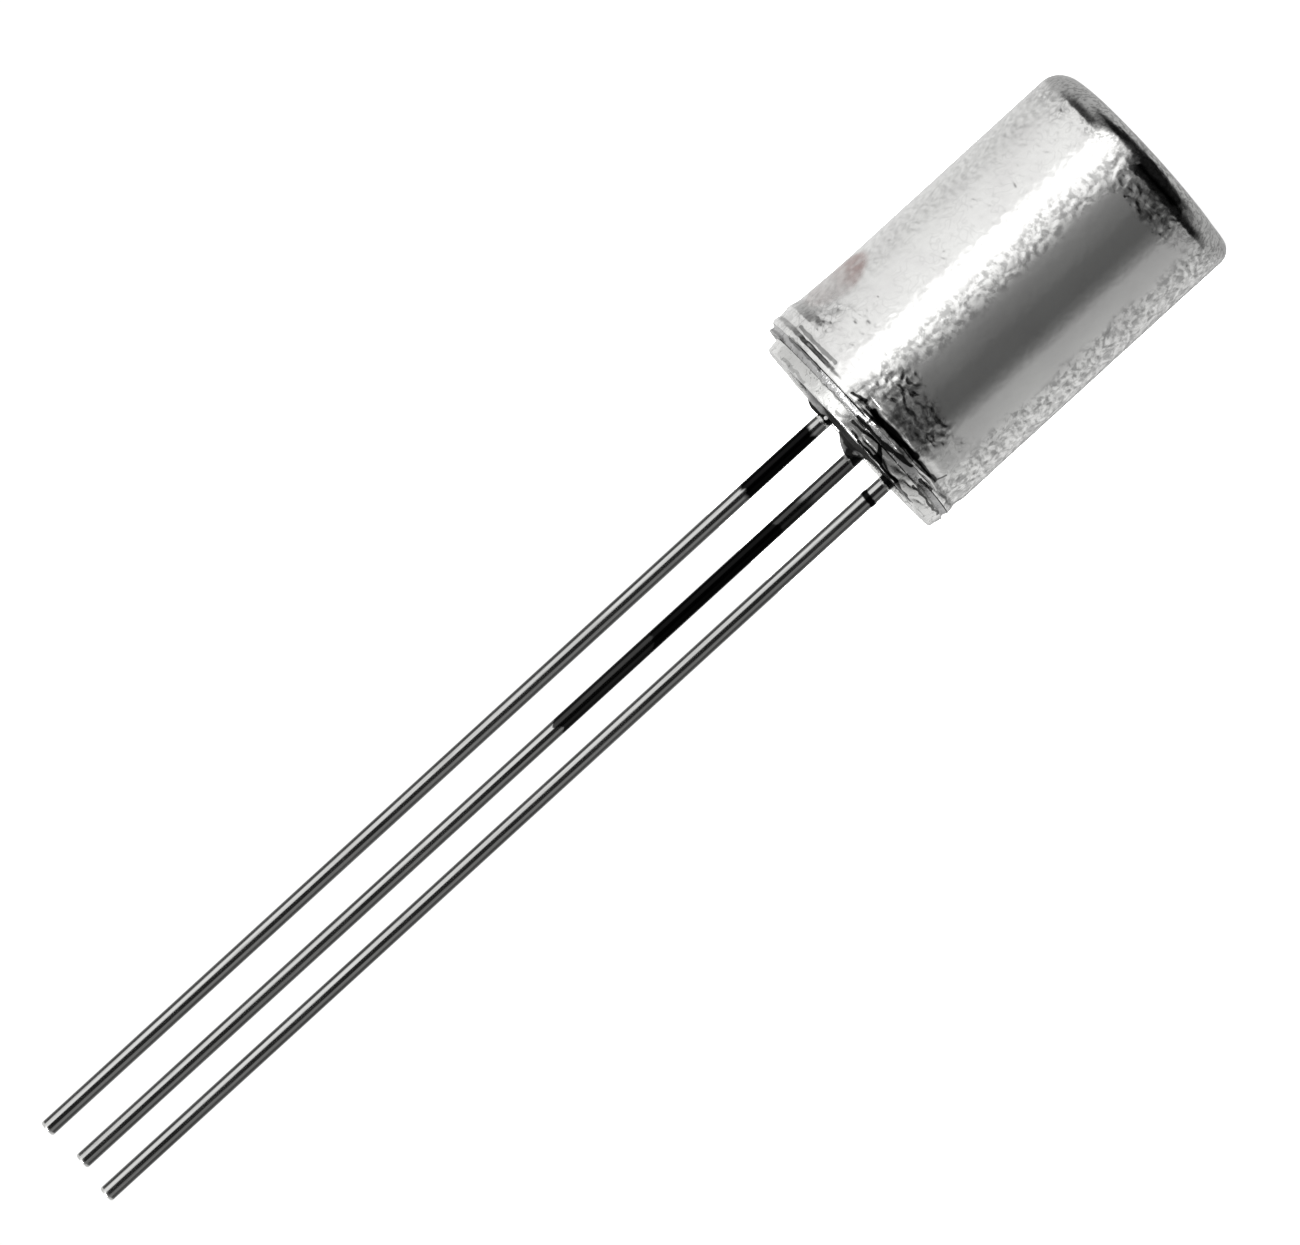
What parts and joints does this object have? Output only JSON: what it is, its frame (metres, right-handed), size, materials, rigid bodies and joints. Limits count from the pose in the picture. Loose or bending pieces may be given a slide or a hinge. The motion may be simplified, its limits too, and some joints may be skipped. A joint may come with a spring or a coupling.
{
  "type": "germanium transistor",
  "caption": "Round metal-can germanium transistor with a glass header and straight wire leads, standing on its closed end with the leads up.",
  "frame": {"origin": "centre of the flat closed end of the can, on which the part stands", "axes": "+Z along the can's axis, from the closed end towards the tips of the leads; the emitter's and the collector's leads lie about along X, with the collector's at +X; -Y is the side that the picture shows"},
  "size_m": [0.006, 0.006, 0.0342],
  "materials": {
    "plated_can": "satin plated metal with a fine grain",
    "ring_metal": "satin, scuffed",
    "solder": "dull and wrinkled",
    "seal_glass": "dark, fired, slightly glossy",
    "lead_metal": "drawn wire, tarnished in places",
    "nickel": "rolled sheet and fine wire",
    "germanium": "etched",
    "indium": "dull soft metal"
  },
  "bodies": {
    "root": {"can": "plated_can", "header_ring": "ring_metal", "seam_solder": "solder", "glass_seal": "seal_glass", "collector_lead": "lead_metal", "base_lead": "lead_metal", "emitter_lead": "lead_metal", "base_tab": "nickel", "base_solder": "solder", "germanium_wafer": "germanium", "emitter_bead": "indium", "collector_bead": "indium", "emitter_wire": "nickel", "collector_wire": "nickel"}
  },
  "joints": []
}
